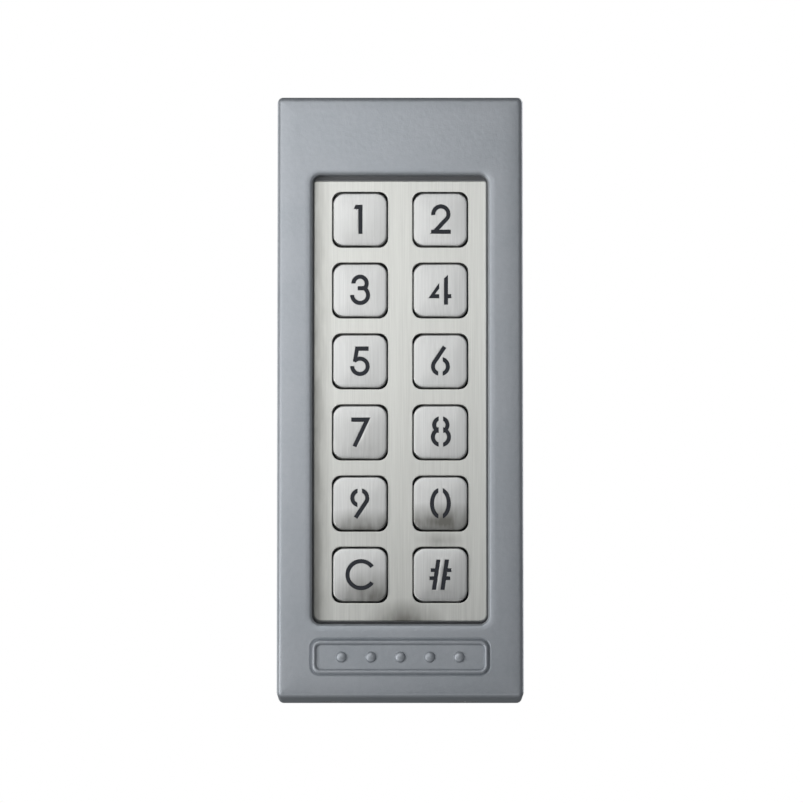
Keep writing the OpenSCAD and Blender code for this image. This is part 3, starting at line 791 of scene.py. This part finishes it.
def keypad_plate():
    """The steel plate: a flange behind the window, a raised front, and an opening for each key."""
    low, high = panel_box("keypad_plate")
    step_z = panel_box("plate_gasket")[0].z
    at = middle("keypad_plate")
    solid = Solid()

    def flange(inset):
        return rounded_rect(*(high.xy - low.xy - 2 * Vector((inset, inset))), plate_corners(), at)

    def front(inset):
        return rounded_rect(*(plate_front() - 2 * Vector((inset, inset))), plate_corners(-inset), at)

    rounding = [(front(away), high.z - drop) for away, drop in round_edge(PLATE_EDGE, steps=5)]
    back_ring, front_ring = solid.walls(
        [(flange(FOOT_CHAMFER), low.z), (flange(0), low.z + FOOT_CHAMFER),
         (flange(0), step_z), (front(0), step_z)]
        + rounding + [(front(PLATE_EDGE + SUPPORT), high.z)])

    front_holes = []
    back_holes = []
    for name in LEGENDS:
        key_at = middle("key_cap_" + name)
        width = size_across("key_cap_" + name).x + 2 * KEY_GAP

        def opening(out):
            return rounded_rect(width + 2 * out, width + 2 * out, OPENING_R + out, key_at)

        soft = [(opening(out), high.z - drop)
                for out, drop in reversed(round_edge(OPENING_EDGE, steps=4))]
        top, bottom = solid.walls([(opening(OPENING_EDGE + SUPPORT), high.z)] + soft
                                  + [(opening(0), low.z)])
        front_holes.append(top)
        back_holes.append(bottom)
    for spot in stack_spots():
        mouth, floor = solid.walls([(circle(BLIND_HOLE_R, spot), low.z),
                                    (circle(BLIND_HOLE_R, spot), low.z + BLIND_HOLE_DEPTH)])
        solid.cap(floor)
        back_holes.append(mouth)
    solid.cap(front_ring, front_holes)
    solid.cap(back_ring, back_holes)
    mount(solid.piece("brushed_plate"), "housing", "brushed_plate", "keypad_plate")


def stack_spots():
    """Middles of the four screws down the middle of the keypad stack."""
    count = 4
    low, high = panel_box("stack_screws")
    head_r = (high.x - low.x) / 2
    run = high.y - low.y - 2 * head_r
    return [((low.x + high.x) / 2, low.y + head_r + run * i / (count - 1)) for i in range(count)]


def window_gasket():
    """The gasket, whose soft inner lip fills the foot of the gap between plate and window."""
    low, high = panel_box("plate_gasket")
    gap = 0.03              # between the plate's front and the lip
    crest = 0.15            # width of the lip along its top
    foot = 0.25             # and where it leaves the gasket
    lip_rise = 1.08
    lip_top_z = high.z + lip_rise
    solid = Solid()

    def outline(size, out):
        across = size + 2 * Vector((out, out))
        return rounded_rect(*across, plate_corners(out), middle("plate_gasket"))

    def lip(out):
        return outline(plate_front() + 2 * Vector((gap, gap)), out)

    solid.hoop([
        (outline(high.xy - low.xy, 0), low.z), (outline(high.xy - low.xy, 0), high.z),
        (lip(foot), high.z), (lip(crest), lip_top_z), (lip(0), lip_top_z), (lip(0), low.z)])
    mount(solid.piece("window_gasket"), "housing", "black_rubber", "plate_gasket")


# ---- Keys ----

def key_cap(name):
    """A drawn steel cap: crowned on top, hollow below, with its figure cut right through."""
    node = "key_cap_" + name
    low, high = panel_box(node)
    at = middle(node)
    size = high.x - low.x
    ceiling_z = high.z - CAP_TOP
    least_corner_r = 0.6
    squareness = 4          # 2 would make the crown's levels circles, more makes them squarer
    crown_power = 2.4       # 2 would be an even curve, more is flatter in the middle
    lean_turn = 2.4 * LEGENDS.index(name)   # in radians, so that neighbours lean apart
    lean = KEY_LEAN * Vector((math.cos(lean_turn), math.sin(lean_turn)))
    top_z = high.z - abs(lean.x) - abs(lean.y)
    solid = Solid()

    def outline(inset):
        corner_r = max(KEY_R - inset, least_corner_r)
        return rounded_rect(size - 2 * inset, size - 2 * inset, corner_r, at)

    def crown(drop):
        """The height of the cap's top, or of a level below it, at any x and y."""
        def level(x, y):
            away = 2 * (Vector((x, y)) - at) / size
            reach = (away.x ** squareness + away.y ** squareness) ** (1 / squareness)
            return top_z + away.dot(lean) - KEY_CROWN * reach ** crown_power - drop
        return level

    rim = [(outline(away), crown(drop)) for away, drop in round_edge(KEY_RIM, steps=6)]
    top = [(outline(inset), crown(0)) for inset in TOP_INSETS]
    foot = [(outline(FOOT_CHAMFER), low.z), (outline(0), low.z + FOOT_CHAMFER)]
    foot_ring, top_ring = solid.walls(foot + rim + top)

    top_holes = []
    under_holes = []
    outlines = legend_outlines("key_lens_" + name)
    for figure in outlines:
        soft = outset(figure, LEGEND_FIT + LEGEND_CHAMFER)
        plain = outset(figure, LEGEND_FIT)
        upper, lower = solid.walls([(soft, crown(0)), (plain, crown(LEGEND_CHAMFER)),
                                    (plain, ceiling_z)])
        top_holes.append(upper)
        under_holes.append(lower)
    reach = size / 2 - TOP_INSETS[-1]
    solid.cap(top_ring, top_holes, crown_spots(solid, at, reach, outlines, crown(0)))

    mouth, ceiling = solid.walls([(outline(CAP_WALL), low.z), (outline(CAP_WALL), ceiling_z)])
    solid.cap(foot_ring, [mouth])
    solid.cap(ceiling, under_holes)
    mount(solid.piece("key_shell_" + name), "key_" + name, "brushed_key", node)


def crown_spots(solid, at, reach, outlines, height):
    """Loose vertices over a key's top, clear of the outlines cut in it."""
    step = 0.5
    clearance = 0.2         # from an outline's points, and from the ring round the spots
    margin = 0.15           # from an outline's sides
    count = int(reach / step)
    figures = [outset(outline, margin) for outline in outlines]
    spots = []
    for i in range(-count, count + 1):
        for j in range(-count, count + 1):
            spot = at + Vector((i, j)) * step
            clear = all((spot - p).length > clearance for outline in outlines for p in outline)
            within = max(abs(i), abs(j)) * step < reach - clearance
            if clear and within and not inside(spot, figures):
                spots += solid.ring([spot], height)
    return spots


# ---- Mat, domes and spring ----

def mat_sheet():
    """The silicone sheet on the board, open round each contact, light and screw."""
    low, high = panel_box("keypad_mat")
    guide_back_z = panel_box("key_guide")[0].z
    corner_r = 1.5
    led_window_r = 0.2
    contact_steps = 48
    solid = Solid()
    outline = rounded_rect(*(high.xy - low.xy), corner_r, middle("keypad_mat"))
    bottom, top = solid.walls([(outline, low.z), (outline, guide_back_z)])
    holes = [circle(SCREW_HOLE_R, spot) for spot in stack_spots()]
    for name in LEGENDS:
        at = middle("key_cap_" + name)
        holes.append(circle(CONTACT_R, at, contact_steps))
        holes.append(rounded_rect(*LED_WINDOW, led_window_r, at + Vector((0, LED_OFFSET))))
    rings = [solid.walls([(hole, low.z), (hole, guide_back_z)]) for hole in holes]
    solid.cap(bottom, [lower for lower, _ in rings])
    solid.cap(top, [upper for _, upper in rings])
    mount(solid.piece("mat_sheet"), "housing", "silicone", "keypad_mat")


def mat_dome(name):
    """One dome: a boss that moves with the key, on a thin skirt that folds down to the sheet."""
    at = middle("key_cap_" + name)
    foot_z = panel_box("key_guide")[0].z
    boss_top_z = panel_box("keypad_mat")[1].z
    boss_foot_z = panel_box("contact_pill_" + name)[1].z
    skirt_top_z = boss_top_z - 1.0
    boss = Solid()
    boss.lathe([(DOME_TIP_R, boss_foot_z), (DOME_TIP_R + 0.3, boss_foot_z + 0.5),
                (DOME_BOSS_R, skirt_top_z - 0.2), (DOME_BOSS_R, skirt_top_z + 0.1),
                (DOME_BOSS_R - 0.15, boss_top_z - 0.1), (DOME_BOSS_R - 0.25, boss_top_z)], at)
    mount(boss.piece("dome_boss_" + name), "key_" + name, "silicone", "keypad_mat")
    skirt = Solid()
    # up the skirt's outside, and down its inside
    skirt.turned_ring([
        (CONTACT_R + 0.7, foot_z - 0.05), (CONTACT_R + 0.55, foot_z + 0.25),
        (DOME_BOSS_R + 0.65, skirt_top_z - 0.4), (DOME_BOSS_R + 0.05, skirt_top_z),
        (DOME_BOSS_R - 0.25, skirt_top_z - 0.05), (DOME_BOSS_R + 0.25, skirt_top_z - 0.5),
        (CONTACT_R + 0.05, foot_z + 0.2), (CONTACT_R + 0.15, foot_z - 0.05)], at)
    made = skirt.piece("dome_skirt_" + name)
    finish_as(made, "silicone", "keypad_mat")
    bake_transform(made)


def tamper_spring():
    """The coil in the tamper switch, held at the front and pushed at the back by the plunger."""
    low, high = panel_box("tamper_spring")
    at = middle("tamper_spring")
    coil_r = (high.x - low.x) / 2 - SPRING_WIRE_R
    per_turn = 24
    around_wire = 10
    count = round(SPRING_TURNS * per_turn)
    rise = (high.z - low.z - 2 * SPRING_WIRE_R) / count
    solid = Solid()
    rings = []
    for i in range(count + 1):
        turn = math.tau * i / per_turn
        ring = []
        for k in range(around_wire):
            lift = math.tau * k / around_wire
            radius = coil_r + SPRING_WIRE_R * math.cos(lift)
            spot = at + radius * Vector((math.cos(turn), math.sin(turn)))
            ring += solid.ring([spot], low.z + SPRING_WIRE_R * (1 + math.sin(lift)) + rise * i)
        rings.append(ring)
    for before, after in zip(rings, rings[1:]):
        solid.join(before, after)
    solid.mesh.faces.new(rings[0])
    solid.mesh.faces.new(rings[-1])
    made = solid.piece("tamper_coil", sharp=60)
    finish_as(made, "spring_steel", "tamper_spring")
    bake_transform(made)


# ---- CAD nodes that keep their shape ----

# Width of the bevel on the edges of the CAD nodes that show, in millimetres
SOFTNESS = {
    "back_plate": 0.15, "key_guide": 0.15, "housing_seal": 0.1, "cable_grommet": 0.15,
    "circuit_board": 0.08, "microcontroller": 0.06, "power_regulator": 0.08, "backlight_leds": 0.06,
    "relays": 0.2, "buzzer": 0.2, "capacitors": 0.1, "terminal_block": 0.15,
    "tamper_switch": 0.12, "tamper_plunger": 0.1,
    "stack_screws": 0.08, "board_screws": 0.1, "terminal_screws": 0.06, "housing_screws": 0.04,
}


def keep_cad_nodes():
    """Gives every CAD node that still shows its finish and slightly softened edges."""
    for part in frame["record"]["subparts"]:
        node = frame["nodes"][part["node"]]
        if not node.hide_render:
            node.data.materials.clear()
            node.data.materials.append(LOOKS[part["material_slot"]])
            if part["node"] in SOFTNESS:
                soften(node, SOFTNESS[part["node"]])


def soften(node, width):
    """Rounds a CAD node's edges with modifiers, so that its own mesh stays as it is."""
    weld = node.modifiers.new("weld", "WELD")
    weld.merge_threshold = 0.001 * MM
    bevel = node.modifiers.new("soft edges", "BEVEL")
    bevel.width = width * MM
    bevel.segments = 2
    bevel.limit_method = "ANGLE"
    bevel.angle_limit = math.radians(40)
    bevel.harden_normals = True


housing_shell()
keypad_plate()
window_gasket()
mat_sheet()
for legend in LEGENDS:
    key_cap(legend)
    mat_dome(legend)
tamper_spring()
keep_cad_nodes()


# ---- Camera, light and floor ----

def look_at(thing, target):
    """Turns a light or the camera towards a point."""
    thing.rotation_euler = (Vector(target) - thing.location).to_track_quat("-Z", "Y").to_euler()


def studio_camera():
    """The camera stands in front of the keys, a little below their middle."""
    distance = 1.4
    below = math.radians(5.7)
    lens = 297.2
    aim = Vector((0.00028, 0, -0.00122))    # from the middle of the housing's face
    face_middle = Vector((0, -panel_box("front_housing")[1].z * MM, 0))
    data = bpy.data.cameras.new("camera")
    data.lens = lens
    camera = bpy.data.objects.new("camera", data)
    camera.location = face_middle + distance * Vector((0, -math.cos(below), -math.sin(below)))
    look_at(camera, face_middle + aim)
    bpy.context.scene.collection.objects.link(camera)
    bpy.context.scene.camera = camera


def softbox(name, location, target, width, height, brightness):
    """A rectangular light whose surface has the given brightness."""
    data = bpy.data.lights.new(name, "AREA")
    data.shape = "RECTANGLE"
    data.size = width
    data.size_y = height
    data.energy = brightness * math.pi * width * height
    light = bpy.data.objects.new(name, data)
    light.location = location
    look_at(light, target)
    light.visible_camera = False
    bpy.context.scene.collection.objects.link(light)


def key_light():
    """A large panel up to the left, whose lower edge fades out in strips."""
    across = -0.150
    in_front = -0.21
    width = 0.34
    bottom = 0.032
    height = 0.122
    brightness = 1.90
    strips = 5
    strip_height = 0.02

    def panel(name, low_edge, panel_height, level):
        at = Vector((across, in_front, low_edge + panel_height / 2))
        softbox(name, at, at + Vector((0, 1, 0)), width, panel_height, level)

    panel("key_light", bottom, height, brightness)
    for i in range(strips):
        fade = 1 - (i + 0.5) / strips
        low_edge = bottom - (i + 1) * strip_height
        panel(f"key_light_fade_{i}", low_edge, strip_height, brightness * fade)


def fill_lights():
    """One for the lower left of the front, two for the back and the sides, one for the underside."""
    middle_of_part = (0, 0, 0)
    softbox("left_fill", (-0.28, -0.21, -0.13), (-0.28, 0, -0.13),
            width=0.18, height=0.26, brightness=5.5)
    softbox("back_light", (0.70, 0.62, 0.35), middle_of_part, width=0.8, height=0.8, brightness=2.4)
    softbox("back_fill", (-0.70, 0.60, 0.10), middle_of_part, width=0.6, height=0.8, brightness=1.8)
    softbox("low_fill", (0, -0.42, -0.42), middle_of_part, width=0.5, height=0.18, brightness=0.9)


def white_surroundings():
    """White where the camera looks past the object, and a dim grey room for the light."""
    room_colour = (0.9, 0.95, 1.0, 1)
    room_strength = 0.12
    world = bpy.data.worlds.new("surroundings")
    bpy.context.scene.world = world
    world.use_nodes = True
    tree = world.node_tree
    room = tree.nodes["Background"]
    room.inputs["Color"].default_value = room_colour
    room.inputs["Strength"].default_value = room_strength
    white = tree.nodes.new("ShaderNodeBackground")
    white.inputs["Color"].default_value = (1, 1, 1, 1)
    mixer = tree.nodes.new("ShaderNodeMixShader")
    path = tree.nodes.new("ShaderNodeLightPath")
    tree.links.new(path.outputs["Is Camera Ray"], mixer.inputs["Fac"])
    tree.links.new(room.outputs["Background"], mixer.inputs[1])
    tree.links.new(white.outputs["Background"], mixer.inputs[2])
    tree.links.new(mixer.outputs["Shader"], tree.nodes["World Output"].inputs["Surface"])


def pale_floor():
    """A plain floor, well below the keypad."""
    drop = 1.6
    half = 3.0
    data = bpy.data.meshes.new("floor")
    corners = [(-half, -half, -drop), (half, -half, -drop), (half, half, -drop), (-half, half, -drop)]
    data.from_pydata(corners, [], [(0, 1, 2, 3)])
    floor = bpy.data.objects.new("floor", data)
    bpy.context.scene.collection.objects.link(floor)
    look = Look("pale_floor", (0.85, 0.85, 0.84), 0.8)
    data.materials.append(look.material)


bpy.context.scene.view_settings.view_transform = "Standard"
studio_camera()
key_light()
fill_lights()
white_surroundings()
pale_floor()
